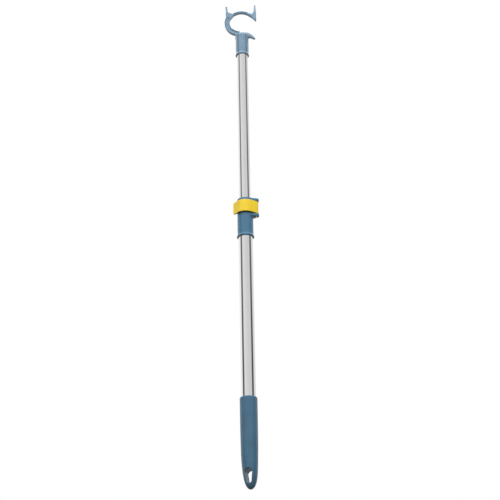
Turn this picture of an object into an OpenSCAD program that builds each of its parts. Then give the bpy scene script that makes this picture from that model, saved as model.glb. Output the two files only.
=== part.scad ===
// Two-section telescopic pole with a hooked head, a cam clamp and a hanging handle.
// +Z runs up the pole, -Y is the front. The origin is on the axis at mid grip.
// Heights named z_... are measured up from the handle's tip.

/* [Pole] */
// Overall length as adjusted, from the handle's tip to the top of the taller horn
overall_length = 815; // [700:1:1000]
// Outer diameter of the lower tube
lower_od = 22; // [21:0.5:24]
// Outer diameter of the upper tube
upper_od = 18; // [16:0.5:18]
// Wall thickness of both tubes
tube_wall = 0.6; // [0.5:0.1:0.8]
// Height of the lower tube's mouth above the handle's tip
lower_top = 426; // [380:1:450]
// Length of the upper tube
upper_length = 430; // [380:1:430]

/* [Handle] */
// Length of the handle
handle_length = 134; // [120:1:150]
// Largest diameter of the handle
handle_d = 26; // [26:0.5:30]
// Height from the handle's tip to the middle of the grip
grip_mid = 80; // [60:1:90]
// Turn of the hanging eye's front about the pole, towards -X
eye_turn = 18; // [0:1:25]

/* [Clamp] */
// Outer diameter of the clamp collar's sleeve
collar_d = 24.4; // [24.4:0.1:26]
// Height of the cam lever
lever_height = 20.4; // [18:0.1:22]
// Thickness of each clamp ear
ear_t = 4.5; // [3:0.5:5]
// Diameter of the pivot pin
pin_d = 3; // [2.5:0.1:3.5]

/* [Head] */
// Inner radius of the open ring
ring_r = 19.5; // [18:0.5:20]
// Radial width of the ring across its top
ring_wall = 3.1; // [2.5:0.1:4]
// Depth of the hooked plate from front to back
plate_t = 6; // [5:0.5:8]

/* [Hidden] */
$fn = 64;

// Clearances: running fit, gap between moving faces, overshoot of a cut
fit = 0.08;
gap = 0.3;
eps = 1;

lower_r = lower_od / 2;
upper_r = upper_od / 2;
bore_r = lower_r - tube_wall;

// Heights from the handle's tip
z_tube = 39;
z_eye = 23.5;
horn_top = 35.5;
z_ring = overall_length - horn_top;
z_socket = z_ring - 64;
z_upper_top = z_ring - 30.5;
z_upper_low = z_upper_top - upper_length;
z_collar = lower_top - 38;
z_lever = lower_top + 0.6;
z_ear_low = z_lever - gap - ear_t;
z_ear_top = z_lever + lever_height + gap;
z_collar_top = z_ear_top + ear_t;
bush_length = 30;

collar_r = collar_d / 2;
pin_at = [17.2, -2];
ear_r = 4.3;
barrel_r = 3.7;
cam_offset = 0.35;
arm_in = collar_r + 0.7;
arm_out = arm_in + 2;
tab_reach = 18.5;
pad_half = 3.4;
pad_gap = 0.05;
pad_out = pin_at[0] - barrel_r - cam_offset - pad_gap;

hole_at = [-0.6, 0.1];
arch_at = [-0.7, -1.3];
arch_r = ring_r + ring_wall + hole_at[1] - arch_at[1];
socket_r = 10.5;
lip_r = 11;
socket_bore = z_upper_top - z_socket;
dome_h = 7;

screw_r = 1.25;
screw_head_r = 2.6;

module lift(z) {
    translate([0, 0, z - grip_mid]) children();
}

// Ring-shaped sleeve
module sleeve(r_out, r_in, h) {
    difference() {
        cylinder(r = r_out, h = h);
        translate([0, 0, -eps]) cylinder(r = r_in, h = h + 2 * eps);
    }
}

// Round bar that narrows from radius r at p to radius s at q
module taper2d(p, r, q, s) {
    d = q - p;
    a = atan2(d[1], d[0]);
    b = acos((r - s) / norm(d));
    translate(p) circle(r = r);
    translate(q) circle(r = s);
    polygon([p + r * [cos(a + b), sin(a + b)], q + s * [cos(a + b), sin(a + b)],
        q + s * [cos(a - b), sin(a - b)], p + r * [cos(a - b), sin(a - b)]]);
}

// Turns a flat outline in X and Z into a plate centred on the pole
module plate(t) {
    rotate([90, 0, 0]) translate([0, 0, -t / 2]) linear_extrude(t) children();
}

// Bore along +Y from the axis to the back, for a screw
module screw_bore(z) {
    lift(z) rotate([-90, 0, 0]) cylinder(r = screw_r, h = 20);
}

// Pan-head screw from the back, its head resting at y = seat, its point at y = point
module back_screw(z, seat, point) {
    head_h = 1.6;
    lift(z) rotate([-90, 0, 0]) {
        translate([0, 0, point]) cylinder(r = screw_r, h = seat - point + head_h / 2);
        translate([0, 0, seat]) difference() {
            intersection() {
                cylinder(r = screw_head_r, h = head_h);
                translate([0, 0, head_h - 4.5]) sphere(r = 4.5);
            }
            for (a = [0, 90]) {
                rotate(a) translate([-1.6, -0.3, head_h - 0.8]) cube([3.2, 0.6, eps]);
            }
        }
    }
}

// Flat seat for a screw head, milled into a round body
module screw_seat(z, seat) {
    lift(z) rotate([-90, 0, 0]) translate([0, 0, seat]) cylinder(r = screw_head_r + 0.2, h = 5);
}

// Grip radius at height z: a blunt point that grows into a straight grip
function grip_r(z) = handle_d / 2 * (1 - exp(-pow(z / 9.4, 0.62)));

handle_seat = 11.4;
collar_seat = collar_r - 0.6;
head_seat = socket_r - 0.9;
z_handle_screw = z_tube + 5;
z_collar_screw = z_collar + 17;
z_head_screw = z_socket + 16;

module handle() {
    edge = 2;
    nose = [for (i = [0:12]) [grip_r(pow(i / 12, 2) * 60), pow(i / 12, 2) * 60]];
    body = [for (z = [80, 100, 120]) [grip_r(z), z]];
    crown = [for (a = [0:15:90]) [handle_d / 2 - edge + edge * cos(a), handle_length - edge + edge * sin(a)]];
    color("#4f7088") difference() {
        lift(0) rotate_extrude() polygon(concat(nose, body, crown, [[0, handle_length]]));
        lift(z_tube) cylinder(r = lower_r, h = handle_length);
        lift(0) rotate(-eye_turn) plate(handle_d + 2 * eps)
            taper2d([0, z_eye], 5.4, [0, 12], 2.6);
        screw_bore(z_handle_screw);
        screw_seat(z_handle_screw, handle_seat);
    }
}

module handle_plug() {
    color("#3a3d40") difference() {
        lift(z_tube) cylinder(r = bore_r, h = 10);
        screw_bore(z_handle_screw);
    }
}

module handle_screw() {
    color("#b9bcc0") back_screw(z_handle_screw, handle_seat, 5);
}

module lower_tube() {
    color("#d9dadc") difference() {
        lift(z_tube) sleeve(lower_r, bore_r, lower_top - z_tube);
        screw_bore(z_handle_screw);
        screw_bore(z_collar_screw);
    }
}

// Plastic bush in the tube's mouth, which guides the upper tube and stops the plug
module mouth_bush() {
    color("#3a3d40") difference() {
        lift(lower_top - bush_length) sleeve(bore_r, upper_r + fit, bush_length);
        screw_bore(z_collar_screw);
    }
}

// Plan of one clamp ear: a round eye on the pin, joined to the sleeve
module ear2d() {
    difference() {
        union() {
            translate(pin_at) circle(r = ear_r);
            polygon([[0, -collar_r + 2], [8, -collar_r + 3], [pin_at[0], pin_at[1] - ear_r],
                pin_at, [pin_at[0], pin_at[1] + ear_r], [8, 9], [0, 9]]);
        }
        translate(pin_at) circle(d = pin_d);
        circle(r = collar_r - 1);
    }
}

module clamp_collar() {
    sleeve_h = z_collar_top - z_collar;
    lip = 3;
    window_h = lever_height + 2 * gap;
    color("#4b7893") difference() {
        union() {
            lift(z_collar) rotate_extrude() polygon([[0, 0], [collar_r + 1.2, 0], [collar_r + 1.2, 0.6],
                [collar_r + 0.3, lip], [collar_r, lip + 3], [collar_r, sleeve_h - 0.6],
                [collar_r - 0.6, sleeve_h], [0, sleeve_h]]);
            for (z = [z_ear_low, z_ear_top]) {
                lift(z) linear_extrude(ear_t) ear2d();
            }
        }
        lift(z_collar - eps) cylinder(r = lower_r, h = lower_top - z_collar + eps);
        lift(z_collar) cylinder(r = upper_r + fit, h = sleeve_h + eps);
        lift(z_lever - gap) translate([0, -pad_half - 0.1, 0])
            cube([20, 2 * pad_half + 0.2, window_h]);
        lift(z_lever - gap) linear_extrude(window_h) translate(pin_at) circle(r = barrel_r + 1);
        screw_bore(z_collar_screw);
        screw_seat(z_collar_screw, collar_seat);
    }
}

module collar_screw() {
    color("#b9bcc0") back_screw(z_collar_screw, collar_seat, upper_r + 0.5);
}

module pivot_pin() {
    color("#d5d6d8") lift(z_ear_low - 0.9) translate(pin_at) rotate_extrude() polygon([[0, 0],
        [pin_d / 2 - 0.5, 0], [pin_d / 2, 0.5], [pin_d / 2, z_collar_top - z_ear_low + 1.7],
        [pin_d / 2 - 0.4, z_collar_top - z_ear_low + 2.1], [0, z_collar_top - z_ear_low + 2.1]]);
}

module push_nut() {
    color("#9a9da1") lift(z_collar_top) translate(pin_at) sleeve(pin_d / 2 + 1.4, pin_d / 2, 0.7);
}

// Points on an arc of radius r about c, from angle a0 to a1 in n steps
function arc(c, r, a0, a1, n) = [for (i = [0:n]) let (a = a0 + (a1 - a0) * i / n) c + r * [cos(a), sin(a)]];

// Plan of the lever: eccentric barrel, straight root, arm round the front, flared tab at the left
module lever2d() {
    barrel = pin_at + [-cam_offset, 0];
    // direction from each centre to the common tangent's touching point
    lean = atan2(barrel[1], barrel[0]) - acos((arm_out - barrel_r) / norm(barrel));
    polygon(concat(
        arc(barrel, barrel_r, 215, lean, 26),
        arc([0, 0], arm_out, lean, -165, 18),
        [[-15.4, -2.9], [-16.8, -2.1]],
        arc([-tab_reach + 1, -0.9], 1, -110, -260, 5),
        [[-16.2, -0.3], [-14.9, -1], [-13.6, -2.1]],
        arc([0, 0], arm_in, -167, -21, 22)));
}

// Cuts that round the two corners of the finger tab, seen from the front
module tab_corners() {
    r = 3;
    for (side = [0, 1]) {
        translate([0, side * lever_height]) mirror([0, side]) polygon(concat(
            [[-tab_reach - eps, -eps], [-tab_reach + r, -eps]],
            arc([-tab_reach + r, r], r, -90, -180, 6),
            [[-tab_reach - eps, r]]));
    }
}

// Cam barrel on the pin, an arm that wraps round the front, and a finger tab at its end
module cam_lever() {
    color("#f4c63d") lift(z_lever) difference() {
        linear_extrude(lever_height) lever2d();
        translate([pin_at[0], pin_at[1], -eps])
            cylinder(r = pin_d / 2 + fit, h = lever_height + 2 * eps);
        plate(20) tab_corners();
    }
}

module brake_pad() {
    color("#2f3133") intersection() {
        difference() {
            lift(z_lever + 1) translate([upper_r - 1.6, -pad_half, 0])
                cube([pad_out - upper_r + 1.6, 2 * pad_half, lever_height - 2]);
            lift(z_lever) cylinder(r = upper_r + fit, h = lever_height);
        }
        lift(z_lever) cylinder(r = arm_out, h = lever_height);
    }
}

// Plastic plug in the upper tube's foot, with a flange that runs in the lower tube
module guide_plug() {
    flange_h = 6;
    color("#3a3d40") lift(z_upper_low - flange_h) {
        difference() {
            union() {
                cylinder(r = bore_r - 0.1, h = flange_h);
                cylinder(r = upper_r - tube_wall - fit, h = flange_h + 20);
            }
            translate([0, 0, -eps]) cylinder(r = 5, h = flange_h + 20 + 2 * eps);
        }
    }
}

module upper_tube() {
    color("#dcdde0") difference() {
        lift(z_upper_low) sleeve(upper_r, upper_r - tube_wall, upper_length);
        screw_bore(z_head_screw);
    }
}

// Open hole that the hook closes round
module ring_hole(grow = 0) translate(hole_at) circle(r = ring_r + grow);

// Outline of the hooked plate in X and Z, about the ring's centre
module head_outline() {
    // upper arc, from the left knuckle to the right arm
    difference() {
        translate(arch_at) circle(r = arch_r);
        ring_hole();
        polygon([[0, 0], [-40, 34], [-40, -60], [60, -60], [60, 40], [40, 50]]);
    }
    // thick left side, an outer circle set off to the left
    difference() {
        translate([-5.3, -0.4]) circle(r = ring_r + 3.8);
        ring_hole();
        polygon([[0, 0], [0, -60], [60, -60], [60, 60], [-38.4, 60], [-19.2, 13]]);
    }
    // right arm and its horn
    polygon([[12, 15.4], [13.4, 18.8], [16.2, 16.8], [17.6, 17.2], [18.6, 19], [19.2, 20.9],
        [20, 22.6], [20.3, 28], [20.9, 32], [21.4, horn_top], [23.2, horn_top], [23.5, 28],
        [24.1, 22], [24.2, 5.2], [22.9, 4.8], [17.2, 10.9]]);
    // left knuckle and its horn
    polygon([[-25.4, 8.4], [-25.9, 10.4], [-26.1, 12.4], [-26.4, 16.4], [-26.3, 20.4], [-26.9, 33],
        [-23.9, 33], [-22.8, 23], [-21.8, 20.9], [-17.5, 18.9], [-14.4, 17.6], [-14.4, 13.3], [-21, 4]]);
    // root over the socket
    difference() {
        polygon([[-socket_r - 0.5, -31], [socket_r, -31], [socket_r, -20.6], [1.5, -19.4], [-11, -20]]);
        ring_hole();
    }
    // shelf where the thick side runs in over the root
    polygon([[-17.2, -10.4], [-14.2, -12.7], [-10.7, -15.1], [-6.5, -16.7], [-3.4, -17.2],
        [-2.9, -18.8], [3, -19], [6, -20], [0, -26], [-18, -18]]);
    // beak: a round back with a hollow under it
    difference() {
        translate([1.5, -43.5]) circle(r = 24);
        translate([11.2, -37.2]) circle(r = 9);
        polygon([[1, -80], [1, 0], [-40, 0], [-40, -80]]);
        polygon([[0, -30.6], [17.6, -30.6], [19.6, -32], [20.6, -32], [24, -28.6], [40, -28.6],
            [40, -80], [0, -80]]);
    }
}

// Recess that leaves a rim along both edges of the ring
module head_recess() {
    rim = 0.9;
    difference() {
        translate(arch_at) circle(r = arch_r - rim);
        ring_hole(rim);
        polygon([[0, 0], [-40, 48], [-40, -60], [60, -60], [60, 70]]);
    }
    difference() {
        translate([-5.3, -0.4]) circle(r = ring_r + 3.8 - 2 * rim);
        ring_hole(2 * rim);
        polygon([[0, 0], [-20, -60], [60, -60], [60, 60], [-38.4, 60], [-38, 16]]);
    }
}

module fork_head() {
    web = 2.4;
    color("#8aa9c0") difference() {
        union() {
            lift(z_ring) difference() {
                plate(plate_t) head_outline();
                for (side = [-1, 1]) {
                    translate([0, side * (web + plate_t) / 2, 0]) plate(plate_t) head_recess();
                }
            }
            lift(z_socket) rotate_extrude() polygon(concat(
                [[0, 0], [lip_r, 0], [lip_r, 0.8], [socket_r - 0.4, 5], [socket_r, 24]],
                [for (a = [0:15:90]) [socket_r * cos(a), 36 + dome_h * sin(a)]]));
        }
        lift(z_socket - eps) cylinder(r = upper_r, h = socket_bore + eps);
        screw_bore(z_head_screw);
        screw_seat(z_head_screw, head_seat);
    }
}

module head_screw() {
    color("#b9bcc0") back_screw(z_head_screw, head_seat, upper_r - tube_wall - 2);
}

handle();
handle_plug();
handle_screw();
lower_tube();
mouth_bush();
clamp_collar();
collar_screw();
pivot_pin();
push_nut();
cam_lever();
brake_pad();
guide_plug();
upper_tube();
fork_head();
head_screw();
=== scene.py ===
# Telescopic hooked pole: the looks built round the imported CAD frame.
# The frame's axes: +Z up the pole, +X towards the hook's mouth, -Y the front, origin on the axis at mid grip.
# Moulded shapes are built in millimetres, with heights measured up from the handle's tip, then scaled to metres.
import math

import bpy
import numpy as np
from mathutils import Matrix, Vector


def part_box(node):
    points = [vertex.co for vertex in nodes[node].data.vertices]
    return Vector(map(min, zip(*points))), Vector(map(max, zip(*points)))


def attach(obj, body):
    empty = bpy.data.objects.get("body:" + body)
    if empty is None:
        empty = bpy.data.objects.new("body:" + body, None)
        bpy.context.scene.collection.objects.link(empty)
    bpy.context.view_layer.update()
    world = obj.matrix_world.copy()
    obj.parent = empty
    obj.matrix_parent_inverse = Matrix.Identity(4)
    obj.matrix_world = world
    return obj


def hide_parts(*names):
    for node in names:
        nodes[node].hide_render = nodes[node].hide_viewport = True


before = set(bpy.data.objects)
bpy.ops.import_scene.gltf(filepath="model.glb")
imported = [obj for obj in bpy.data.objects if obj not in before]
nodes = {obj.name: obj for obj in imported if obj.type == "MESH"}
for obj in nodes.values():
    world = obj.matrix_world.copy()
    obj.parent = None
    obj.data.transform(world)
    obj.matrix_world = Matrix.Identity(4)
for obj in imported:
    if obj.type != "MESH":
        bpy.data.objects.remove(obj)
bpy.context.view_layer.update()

MM = 0.001
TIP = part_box("handle")[0].z / MM


def span(node):
    """A CAD node's lowest and highest corners in millimetres, with heights from the handle's tip."""
    lo, hi = (np.array(corner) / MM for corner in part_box(node))
    return lo - [0, 0, TIP], hi - [0, 0, TIP]


# ---------------------------------------------------------------- camera and studio

def look_at(obj, eye, target, roll):
    """Puts obj at eye, looking at target with +Z up, then turns it about its own view line."""
    obj.location = eye
    turn = (target - eye).to_track_quat("-Z", "Y").to_matrix()
    obj.rotation_euler = (turn @ Matrix.Rotation(roll, 3, "Z")).to_euler()


def add_camera():
    """The photograph's view: from below the pole's middle, looking up its front."""
    aim_side, aim_height = 0.0063, 0.367
    distance = 1.832
    pitch, roll = math.radians(24), math.radians(-1.13)
    aim = Vector((aim_side, 0, TIP * MM + aim_height))
    eye = aim + distance * Vector((0, -math.cos(pitch), -math.sin(pitch)))
    data = bpy.data.cameras.new("camera")
    data.sensor_width = 36
    data.lens = 86.6
    data.clip_end = 30
    camera = bpy.data.objects.new("camera", data)
    bpy.context.scene.collection.objects.link(camera)
    look_at(camera, eye, aim, roll)
    bpy.context.scene.camera = camera


def add_node(tree, kind, inputs=(), **settings):
    """Adds a node, sets its properties, and fills its inputs: a socket is linked, anything else is a value."""
    node = tree.nodes.new(kind)
    for key, value in settings.items():
        setattr(node, key, value)
    for key, value in dict(inputs).items():
        if isinstance(value, bpy.types.NodeSocket):
            tree.links.new(value, node.inputs[key])
        else:
            node.inputs[key].default_value = value
    return node


def maths(tree, operation, a, b=0.0, clamp=False):
    node = add_node(tree, "ShaderNodeMath", {0: a, 1: b}, operation=operation, use_clamp=clamp)
    return node.outputs[0]


def add_world():
    """A white studio tent, dim below. Everything but the camera also sees a dark flag on each side."""
    flag_azimuth = math.radians(76)
    flag_half_width = 0.36
    flag_edge_power = 0.4
    lowest, tent_gain, overhead_gain = 0.1, 0.72, 0.9
    right_gain, back_gain = -0.1, 0.12
    world = bpy.data.worlds.new("studio")
    bpy.context.scene.world = world
    world.use_nodes = True
    tree = world.node_tree
    tree.nodes.clear()
    direction = add_node(tree, "ShaderNodeTexCoord").outputs["Generated"]
    axes = add_node(tree, "ShaderNodeSeparateXYZ", {0: direction}).outputs
    front = maths(tree, "MULTIPLY", axes["Y"], -1.0)
    azimuth = maths(tree, "ARCTAN2", axes["X"], front)
    either_side = maths(tree, "ABSOLUTE", azimuth)
    off_flag = maths(tree, "ABSOLUTE", maths(tree, "SUBTRACT", either_side, flag_azimuth))
    flag = maths(tree, "SUBTRACT", 1.0, maths(tree, "DIVIDE", off_flag, flag_half_width), clamp=True)
    fade = maths(tree, "SUBTRACT", 1.3, maths(tree, "MULTIPLY", axes["Z"], 0.9), clamp=True)
    dark = maths(tree, "MULTIPLY", maths(tree, "POWER", flag, flag_edge_power), fade)
    above = maths(tree, "ADD", maths(tree, "MULTIPLY", axes["Z"], 3.0), 0.75, clamp=True)
    tent = maths(tree, "ADD", lowest, maths(tree, "MULTIPLY", above, tent_gain))
    overhead = maths(tree, "SUBTRACT", maths(tree, "MULTIPLY", axes["Z"], 3.0), 1.9, clamp=True)
    tent = maths(tree, "ADD", tent, maths(tree, "MULTIPLY", overhead, overhead_gain))
    tent = maths(tree, "ADD", tent, maths(tree, "MULTIPLY", axes["X"], right_gain))
    tent = maths(tree, "ADD", tent, maths(tree, "MULTIPLY", axes["Y"], back_gain))
    level = maths(tree, "MULTIPLY", tent, maths(tree, "SUBTRACT", 1.0, dark))
    ray = add_node(tree, "ShaderNodeLightPath").outputs["Is Camera Ray"]
    seen = maths(tree, "MAXIMUM", level, ray)
    shade = add_node(tree, "ShaderNodeBackground", {"Color": (1, 1, 1, 1), "Strength": seen})
    add_node(tree, "ShaderNodeOutputWorld", {"Surface": shade.outputs[0]})


def add_softbox(name, place, size, power):
    data = bpy.data.lights.new(name, "AREA")
    data.shape = "RECTANGLE"
    data.size, data.size_y = size
    data.energy = power
    lamp = bpy.data.objects.new(name, data)
    lamp.visible_glossy = False
    bpy.context.scene.collection.objects.link(lamp)
    middle_height = 0.4
    look_at(lamp, Vector(place), Vector((0, 0, TIP * MM + middle_height)), 0)


def mesh_object(name, points, faces):
    mesh = bpy.data.meshes.new(name)
    mesh.from_pydata(points, [], faces)
    mesh.update()
    obj = bpy.data.objects.new(name, mesh)
    bpy.context.scene.collection.objects.link(obj)
    return obj


def add_floor(material):
    """A plain pale floor, far enough below the pole that the camera stands above it."""
    half, drop = 12, 0.62
    height = TIP * MM - drop
    corners = [(-half, -half, height), (half, -half, height), (half, half, height), (-half, half, height)]
    floor = mesh_object("floor", corners, [(0, 1, 2, 3)])
    floor.data.materials.append(material)
    floor.visible_diffuse = False


# ---------------------------------------------------------------- materials

def principled(name, **inputs):
    material = bpy.data.materials.new(name)
    material.use_nodes = True
    tree = material.node_tree
    shader = tree.nodes["Principled BSDF"]
    for key, value in inputs.items():
        shader.inputs[key.replace("_", " ")].default_value = value
    place = add_node(tree, "ShaderNodeTexCoord").outputs["Object"]
    return material, tree, shader, place


def noise(tree, place, scale, detail=3.0, stretch=None):
    """Noise in object space; stretch divides the frequency along each axis, to draw it out."""
    if stretch:
        place = add_node(tree, "ShaderNodeVectorMath", {0: place, 1: stretch}, operation="MULTIPLY").outputs[0]
    return add_node(tree, "ShaderNodeTexNoise", {"Vector": place, "Scale": scale, "Detail": detail}).outputs[0]


def ramp(tree, factor, low, high):
    """Maps 0.3..0.7, where noise mostly lies, onto low..high."""
    node = add_node(tree, "ShaderNodeMapRange", {"Value": factor, 1: 0.3, 2: 0.7, 3: low, 4: high})
    return node.outputs[0]


def blend_colour(tree, factor, low, high):
    """A Mix node's colour sockets: 0 is the factor, 6 and 7 the two colours, and 2 the result."""
    node = add_node(tree, "ShaderNodeMix", data_type="RGBA")
    node.inputs[6].default_value = (*low, 1)
    node.inputs[7].default_value = (*high, 1)
    tree.links.new(factor, node.inputs[0])
    return node.outputs[2]


def add_bump(tree, shader, layers):
    """Stacks bump layers, each (height socket, strength, distance in metres)."""
    normal = None
    for height, strength, distance in layers:
        inputs = {"Height": height, "Strength": strength, "Distance": distance}
        if normal:
            inputs["Normal"] = normal
        normal = add_node(tree, "ShaderNodeBump", inputs).outputs[0]
    tree.links.new(normal, shader.inputs["Normal"])


def moulded_plastic(name, colour, roughness, coat, grain, sheen=0.0):
    """Moulded plastic with faint cloudy pigment, slight orange peel and mould grain; sheen adds pearl."""
    material, tree, shader, place = principled(name, Coat_Weight=coat, Coat_Roughness=0.08, Metallic=sheen)
    cloud = noise(tree, place, 55, 4)
    streak = noise(tree, place, 160, 2, (1, 1, 0.15))
    tone = maths(tree, "ADD", maths(tree, "MULTIPLY", cloud, 0.7), maths(tree, "MULTIPLY", streak, 0.3))
    low = [c * 0.88 for c in colour]
    high = [min(1, c * 1.1 + 0.004) for c in colour]
    tree.links.new(blend_colour(tree, ramp(tree, tone, 0, 1), low, high), shader.inputs["Base Color"])
    scuff = noise(tree, place, 420, 5, (1, 1, 0.3))
    tree.links.new(ramp(tree, scuff, roughness - 0.05, roughness + 0.06), shader.inputs["Roughness"])
    add_bump(tree, shader, [
        (noise(tree, place, 240, 2), 0.1, 0.00006),
        (noise(tree, place, 2600, 3), grain, 0.00003),
    ])
    return material


def drawn_steel(name, colour, roughness, line):
    """Polished drawn steel: hair lines along the tube and faint smudges."""
    material, tree, shader, place = principled(name, Metallic=1.0)
    hair = noise(tree, place, 3800, 3, (1, 1, 0.012))
    smudge = noise(tree, place, 60, 4, (1, 1, 0.5))
    tone = maths(tree, "ADD", maths(tree, "MULTIPLY", hair, 0.5), maths(tree, "MULTIPLY", smudge, 0.5))
    low = [c * 0.94 for c in colour]
    tree.links.new(blend_colour(tree, ramp(tree, tone, 0, 1), low, colour), shader.inputs["Base Color"])
    tree.links.new(ramp(tree, tone, roughness - 0.03, roughness + 0.05), shader.inputs["Roughness"])
    add_bump(tree, shader, [(hair, line, 0.00001)])
    return material


def turned_steel(name, colour, roughness):
    """Plated small hardware: faint pits and a patchy polish."""
    material, tree, shader, place = principled(name, Metallic=1.0)
    pits = noise(tree, place, 1800, 4)
    tree.links.new(blend_colour(tree, ramp(tree, pits, 0, 1), [c * 0.85 for c in colour], colour),
                   shader.inputs["Base Color"])
    tree.links.new(ramp(tree, pits, roughness - 0.05, roughness + 0.08), shader.inputs["Roughness"])
    add_bump(tree, shader, [(pits, 0.15, 0.00003)])
    return material


def matte_floor():
    material, tree, shader, place = principled("pale_floor", Roughness=0.9)
    tone = noise(tree, place, 3, 4)
    colour = blend_colour(tree, ramp(tree, tone, 0, 1), (0.42, 0.42, 0.42), (0.46, 0.46, 0.46))
    tree.links.new(colour, shader.inputs["Base Color"])
    return material


# ---------------------------------------------------------------- solid shapes from distance fields

def smooth_min(a, b, k):
    """Union of two fields with a fillet about k wide."""
    h = np.clip(0.5 + 0.5 * (b - a) / k, 0, 1)
    return b + (a - b) * h - k * h * (1 - h)


def smooth_max(a, b, k):
    return -smooth_min(-a, -b, k)


def step01(x, low, high):
    t = np.clip((x - low) / (high - low), 0, 1)
    return t * t * (3 - 2 * t)


def disc(x, y, centre, r):
    return np.hypot(x - centre[0], y - centre[1]) - r


def wedge(x, y, start, end):
    """Negative between two directions from the origin, in degrees, less than 180 apart."""
    a, b = math.radians(start), math.radians(end)
    after_start = y * math.cos(a) - x * math.sin(a)
    before_end = x * math.sin(b) - y * math.cos(b)
    return -np.minimum(after_start, before_end)


def bar(x, y, p, q, r):
    """Straight bar with round ends."""
    p, q = np.array(p), np.array(q)
    d = q - p
    t = np.clip(((x - p[0]) * d[0] + (y - p[1]) * d[1]) / (d @ d), 0, 1)
    return np.hypot(x - p[0] - t * d[0], y - p[1] - t * d[1]) - r


def polygon(x, y, points):
    """Signed distance to a closed outline."""
    nearest = np.inf
    sign = 1.0
    for a, b in zip(points, points[1:] + points[:1]):
        ex, ey = b[0] - a[0], b[1] - a[1]
        wx, wy = x - a[0], y - a[1]
        t = np.clip((wx * ex + wy * ey) / (ex * ex + ey * ey), 0, 1)
        nearest = np.minimum(nearest, (wx - ex * t) ** 2 + (wy - ey * t) ** 2)
        above, below, left = y >= a[1], y < b[1], ex * wy > ey * wx
        flip = (above & below & left) | (~above & ~below & ~left)
        sign = np.where(flip, -sign, sign)
    return sign * np.sqrt(nearest)


def slab(outline, offset, half, edge):
    """Extrudes a flat field to +-half along offset, with edges rounded by edge."""
    a, b = outline + edge, np.abs(offset) - half + edge
    return np.minimum(np.maximum(a, b), 0) + np.hypot(np.maximum(a, 0), np.maximum(b, 0)) - edge


def field_surface(field, low, high, step):
    """Quads where field crosses zero: one point in each mixed cell, then moved onto the true surface."""
    axes = [np.arange(a, b + step, step) for a, b in zip(low, high)]
    grid = np.meshgrid(*axes, indexing="ij", sparse=True)
    value = np.broadcast_to(field(*grid), [len(a) for a in axes]).astype(np.float64)
    inside = value < 0
    cells = tuple(n - 1 for n in value.shape)
    total, count = np.zeros(cells + (3,)), np.zeros(cells)
    quads = []
    for axis in range(3):
        ahead = [slice(None)] * 3
        behind = [slice(None)] * 3
        ahead[axis], behind[axis] = slice(1, None), slice(None, -1)
        v0, v1 = value[tuple(behind)], value[tuple(ahead)]
        crossing = inside[tuple(behind)] != inside[tuple(ahead)]
        where = np.argwhere(crossing)
        share = v0[crossing] / (v0[crossing] - v1[crossing])
        place = where.astype(float)
        place[:, axis] += share
        side, other = [i for i in range(3) if i != axis]
        ring = []
        for du, dv in ((0, 0), (1, 0), (1, 1), (0, 1)):
            cell = where.copy()
            cell[:, side] -= du
            cell[:, other] -= dv
            cell = np.clip(cell, 0, np.array(cells) - 1)
            np.add.at(total, tuple(cell.T), place)
            np.add.at(count, tuple(cell.T), 1)
            ring.append(np.ravel_multi_index(tuple(cell.T), cells))
        quad = np.stack(ring, 1)
        outward = inside[tuple(behind)][crossing] == (axis != 1)
        quad[outward] = quad[outward][:, ::-1]
        quads.append(quad)
    used = np.flatnonzero(count.ravel())
    index = np.full(count.size, -1)
    index[used] = np.arange(len(used))
    points = total.reshape(-1, 3)[used] / count.ravel()[used][:, None]
    points = np.array(low) + points * step
    faces = index[np.concatenate(quads)]
    return settle(points, field, step), faces


def settle(points, field, step):
    """Moves points onto the field's zero surface, by no more than one cell."""
    start = points.copy()
    tiny = 0.02
    for _ in range(3):
        value = field(*points.T)
        slope = np.stack([(field(*(points + d).T) - field(*(points - d).T)) / (2 * tiny)
                          for d in np.eye(3) * tiny], 1)
        length = np.maximum((slope ** 2).sum(1), 0.25)
        points = points - slope * (value / length)[:, None]
        points = start + np.clip(points - start, -step, step)
    return points


def moulded_piece(name, field, low, high, step, node, body, slot, material):
    """A smooth moulded shape that stands for one CAD node and rides on its body."""
    points, faces = field_surface(field, low, high, step)
    points = (points + [0, 0, TIP]) * MM
    piece = mesh_object(name, points.tolist(), faces.tolist())
    piece.data.polygons.foreach_set("use_smooth", [True] * len(faces))
    piece.data.materials.append(material)
    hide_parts(node)
    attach(piece, body)
    return piece


# ---------------------------------------------------------------- the pole's moulded pieces

HEAD_LOW, HEAD_HIGH = span("fork_head")
COLLAR_LOW, COLLAR_HIGH = span("clamp_collar")
LEVER_LOW, LEVER_HIGH = span("cam_lever")
HANDLE_LOW, HANDLE_HIGH = span("handle")
UPPER_R = span("upper_tube")[1][0]
LOWER_R = span("lower_tube")[1][0]
PIN = (span("pivot_pin")[0] + span("pivot_pin")[1])[:2] / 2
PIN_R = (span("pivot_pin")[1] - span("pivot_pin")[0])[0] / 2
SHELL_GAP = 0.04


def screw_well(x, y, z, node):
    """Seat and hole for a back screw, taken from the screw's own place."""
    lo, hi = span(node)
    seat_gap, seat_depth, hole_r = 0.2, 1.6, 1.3
    r = np.hypot(x, z - (lo[2] + hi[2]) / 2)
    seat = np.maximum(r - (hi[0] - lo[0]) / 2 - seat_gap, hi[1] - seat_depth - y)
    hole = np.maximum(r - hole_r, -y)
    return np.minimum(seat, hole)


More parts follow.
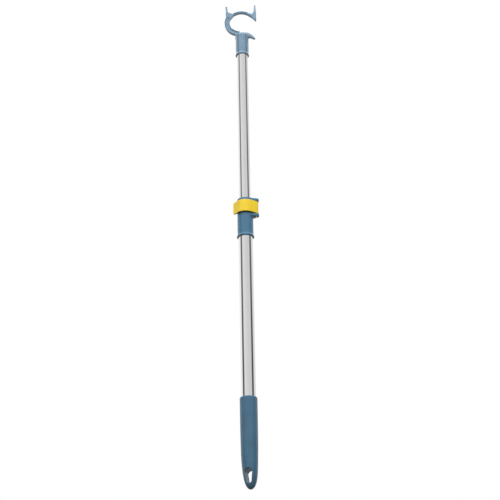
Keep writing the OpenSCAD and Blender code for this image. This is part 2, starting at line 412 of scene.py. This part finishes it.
def head_outline(u, w):
    """The hooked plate seen from the front, about the ring's centre."""
    hollow = disc(u, w, (-0.6, 0.1), 19.5)
    top = np.maximum(np.maximum(disc(u, w, (-0.7, -1.3), 24), -hollow), wedge(u, w, 47, 141))
    left = np.maximum(np.maximum(disc(u, w, (-5.3, -0.4), 23.3), -hollow), wedge(u, w, 149, 271))
    arm = polygon(u, w, [(12, 15.4), (13.4, 18.7), (16.2, 16.8), (17.6, 17.2), (18.6, 19), (19.2, 20.9),
                         (20, 22.6), (20.3, 28), (20.9, 32), (21.4, 35.5), (23.2, 35.5), (23.5, 28),
                         (24.1, 22), (24.2, 5.2), (22.9, 4.8), (17.2, 10.9)])
    knuckle = polygon(u, w, [(-25.4, 8.4), (-25.9, 10.4), (-26.1, 12.4), (-26.4, 16.4), (-26.3, 20.4),
                             (-26.9, 33), (-23.9, 33), (-22.8, 23), (-21.8, 20.9), (-17.5, 18.9),
                             (-14.4, 17.6), (-14.4, 13.3), (-21, 4)])
    root = np.maximum(polygon(u, w, [(-11, -31), (10.7, -31), (10.7, -20.6), (1.5, -19.4), (-11, -20)]), -hollow)
    shelf = polygon(u, w, [(-17.2, -10.4), (-14.2, -12.7), (-10.7, -15.1), (-6.5, -16.7), (-3.4, -17.2),
                           (-2.9, -18.8), (3, -19), (6, -20), (0, -26), (-18, -18)])
    beak = np.maximum(disc(u, w, (1.7, -43.1), 24), -disc(u, w, (11.2, -37.2), 9))
    tip = polygon(u, w, [(1, -10), (30, -10), (24, -28.6), (20.7, -32), (19.6, -32), (17.6, -30.6), (1, -30.6)])
    beak = np.maximum(beak, tip)
    shape = smooth_min(top, left, 0.8)
    for part, fillet in ((arm, 0.8), (knuckle, 0.6), (root, 0.6), (shelf, 0.4), (beak, 0.6)):
        shape = smooth_min(shape, part, fillet)
    return shape


def head_field(x, y, z):
    """Hooked plate with sunk webs and tapered points, on a round socket with a flared lip."""
    horn_top = 35.5
    socket_r, dome_from, bore_depth = 10.75, 36.5, 33.5
    u, w = x, z - (HEAD_HIGH[2] - horn_top)
    outline = head_outline(u, w)
    half = 3 - 1.7 * step01(w, 17, 34) - 1.5 * step01(u, 10, 21) * step01(-w, 18, 24)
    turn = np.degrees(np.arctan2(w, u)) % 360
    web = step01(turn, 58, 66) * (1 - step01(turn, 126, 134)) + step01(turn, 154, 160) * (1 - step01(turn, 256, 266))
    rim = 0.75 + 0.55 * step01(turn, 150, 200)
    half = half - 0.9 * web * step01(-outline - rim, 0, 0.6)
    plate = slab(outline, y, half, 0.55)
    r = np.hypot(x, y)
    up = z - HEAD_LOW[2]
    wall = 10.4 + 0.35 * step01(up, 3, 15) + 0.7 * np.exp(-(up / 2.4) ** 2)
    dome = np.hypot(r, np.maximum(up - dome_from, 0) * 1.4)
    socket = smooth_max(np.where(up > dome_from, dome - socket_r, r - wall), -up, 0.5)
    bore = np.maximum(r - UPPER_R - SHELL_GAP, up - bore_depth)
    solid = smooth_min(plate, socket, 1)
    solid = smooth_max(solid, -bore, 0.3)
    return smooth_max(solid, -screw_well(x, y, z, "head_screw"), 0.2)


def collar_field(x, y, z):
    """Sleeve with a flared lip, two ears that hold the pin, and a window for the brake pad."""
    sleeve_r, ear_r, barrel_room = 12.2, 4.3, 4.7
    r = np.hypot(x, y)
    up = z - COLLAR_LOW[2]
    height = COLLAR_HIGH[2] - COLLAR_LOW[2]
    low, high = LEVER_LOW[2] - 0.3, LEVER_HIGH[2] + 0.3
    ear_t = COLLAR_HIGH[2] - high
    wall = sleeve_r + 1.2 * np.exp(-(up / 2.8) ** 2)
    sleeve = smooth_max(smooth_max(r - wall, -up, 0.6), up - height, 0.8)
    ear = polygon(x, y, [(0, -10.2), (8, -9.2), (PIN[0], PIN[1] - ear_r), (PIN[0] + 1, PIN[1]),
                         (PIN[0], PIN[1] + ear_r), (8, 9), (0, 9)])
    ear = smooth_min(ear, disc(x, y, PIN, ear_r), 0.6)
    lower = slab(ear, z - low + ear_t / 2, ear_t / 2, 0.6)
    upper = slab(ear, z - high - ear_t / 2, ear_t / 2, 0.6)
    solid = smooth_min(smooth_min(sleeve, lower, 3.2), upper, 1.5)
    solid = smooth_max(solid, up - height, 0.3)
    level = np.abs(z - (low + high) / 2) - (high - low) / 2
    between = np.maximum(level, sleeve_r + 0.02 - r)
    solid = np.maximum(solid, -between)
    window = np.maximum(np.maximum(np.abs(y) - 3.5, -x), level)
    barrel = np.maximum(disc(x, y, PIN, barrel_room), level)
    bore = np.minimum(np.maximum(r - LOWER_R - SHELL_GAP, z - span("lower_tube")[1][2]), r - UPPER_R - 0.08)
    pin_hole = disc(x, y, PIN, PIN_R + SHELL_GAP)
    for cut in (window, barrel, bore, pin_hole, screw_well(x, y, z, "collar_screw")):
        solid = smooth_max(solid, -cut, 0.25)
    return solid


def lever_field(x, y, z):
    """Eccentric barrel, straight root, arm round the front and a flared finger tab."""
    inner, outer, barrel_r, offset = 12.9, 14.9, 3.7, 0.35
    barrel_at = np.array([PIN[0] - offset, PIN[1]])
    lean = math.atan2(barrel_at[1], barrel_at[0]) - math.acos((outer - barrel_r) / np.hypot(*barrel_at))
    out = np.array([math.cos(lean), math.sin(lean)])
    arm = np.maximum(np.maximum(disc(x, y, (0, 0), outer), -disc(x, y, (0, 0), inner)), wedge(x, y, -166, -24))
    root = polygon(x, y, [tuple(outer * out), tuple(barrel_at + barrel_r * out), (barrel_at[0] + 1, -3.6),
                          (14.2, -4.9), (12, -4.9), (8, -9)])
    root = np.maximum(root, -disc(x, y, (0, 0), inner))
    tab = smooth_min(bar(x, y, (-13.3, -4.3), (-15, -2), 1), bar(x, y, (-15, -2), (-17.5, -0.8), 1), 1.2)
    plan = smooth_min(smooth_min(arm, root, 0.4), disc(x, y, barrel_at, barrel_r), 0.5)
    plan = smooth_min(plan, tab, 1.2)
    height = LEVER_HIGH[2] - LEVER_LOW[2]
    rise = z - LEVER_LOW[2] - height / 2
    solid = slab(plan, rise, height / 2, 0.75)
    corner = 3
    a, b = LEVER_LOW[0] + corner - x, np.abs(rise) - height / 2 + corner
    solid = smooth_max(solid, np.hypot(np.maximum(a, 0), np.maximum(b, 0)) - corner, 0.6)
    return smooth_max(solid, -disc(x, y, PIN, PIN_R + 0.08), 0.2)


def handle_field(x, y, z):
    """Round grip that narrows to a blunt tip set slightly to +X, with a drop-shaped hanging eye."""
    top = HANDLE_HIGH[2]
    radius = HANDLE_HIGH[0]
    tip_scale, tip_power = 9.4, 0.62
    eye_turn, eye_top, eye_drop = math.radians(-18), 23.2, 11
    lean = 0.9 * (1 - step01(z, 0, 50))
    r = np.hypot(x - lean, y)
    rise = np.maximum(z, 0.02)
    # dividing by the profile's slope turns the gap across the axis into a distance, even at the blunt tip
    near_tip = np.exp(-(rise / tip_scale) ** tip_power)
    wall = radius * (1 - near_tip)
    slope = np.clip(radius * near_tip * tip_power / tip_scale * (rise / tip_scale) ** (tip_power - 1), 0, 4)
    grip = (r - wall) / np.sqrt(1 + slope ** 2)
    solid = smooth_max(smooth_max(grip, z - top, 2.5), -z, 0.6)
    across = (x - lean) * math.cos(eye_turn) + y * math.sin(eye_turn)
    t = np.clip((eye_top - z) / eye_drop, 0, 1)
    eye = np.hypot(across, z - eye_top + eye_drop * t) - (5.4 - 1.7 * t)
    solid = smooth_max(solid, -eye, 1.2)
    bore = np.maximum(np.hypot(x, y) - LOWER_R - SHELL_GAP, span("lower_tube")[0][2] - z)
    solid = smooth_max(solid, -bore, 0.4)
    return smooth_max(solid, -screw_well(x, y, z, "handle_screw"), 0.2)


def grown(low, high, extra):
    return low - extra, high + extra


def build():
    head = moulded_plastic("head_plastic", (0.21, 0.335, 0.455), 0.2, 0.6, 0.02, 0.5)
    collar = moulded_plastic("collar_plastic", (0.06, 0.175, 0.28), 0.28, 0.2, 0.06)
    handle = moulded_plastic("handle_plastic", (0.06, 0.16, 0.255), 0.38, 0.1, 0.12)
    yellow = moulded_plastic("lever_plastic", (0.97, 0.66, 0.03), 0.3, 0.2, 0.06)
    inner = moulded_plastic("inner_plastic", (0.035, 0.038, 0.042), 0.4, 0.0, 0.1)
    rubber = moulded_plastic("pad_rubber", (0.02, 0.02, 0.021), 0.7, 0.0, 0.3)
    tube = drawn_steel("polished_tube", (0.90, 0.90, 0.905), 0.06, 0.05)
    hardware = turned_steel("bright_hardware", (0.78, 0.78, 0.79), 0.2)

    moulded_piece("fork_head_shell", head_field, *grown(HEAD_LOW, HEAD_HIGH, 1.3), 0.4,
                  "fork_head", "upper_section", "head_plastic", head)
    moulded_piece("clamp_collar_shell", collar_field, *grown(COLLAR_LOW, COLLAR_HIGH, 1.3), 0.4,
                  "clamp_collar", "handle_section", "collar_plastic", collar)
    moulded_piece("cam_lever_shell", lever_field, *grown(LEVER_LOW, LEVER_HIGH, 1.1), 0.3,
                  "cam_lever", "clamp_lever", "lever_plastic", yellow)
    moulded_piece("handle_shell", handle_field, *grown(HANDLE_LOW, HANDLE_HIGH, 1.5), 0.5,
                  "handle", "handle_section", "handle_plastic", handle)

    finishes = {
        tube: ("lower_tube", "upper_tube"),
        hardware: ("handle_screw", "collar_screw", "head_screw", "pivot_pin", "push_nut"),
        inner: ("handle_plug", "mouth_bush", "guide_plug"),
        rubber: ("brake_pad",),
    }
    for material, names in finishes.items():
        for name in names:
            nodes[name].data.materials.clear()
            nodes[name].data.materials.append(material)


bpy.context.scene.view_settings.view_transform = "Standard"
add_camera()
add_world()
add_softbox("key", (0.1, -1.6, 2.3), (1.2, 1.2), 66)
add_floor(matte_floor())
build()
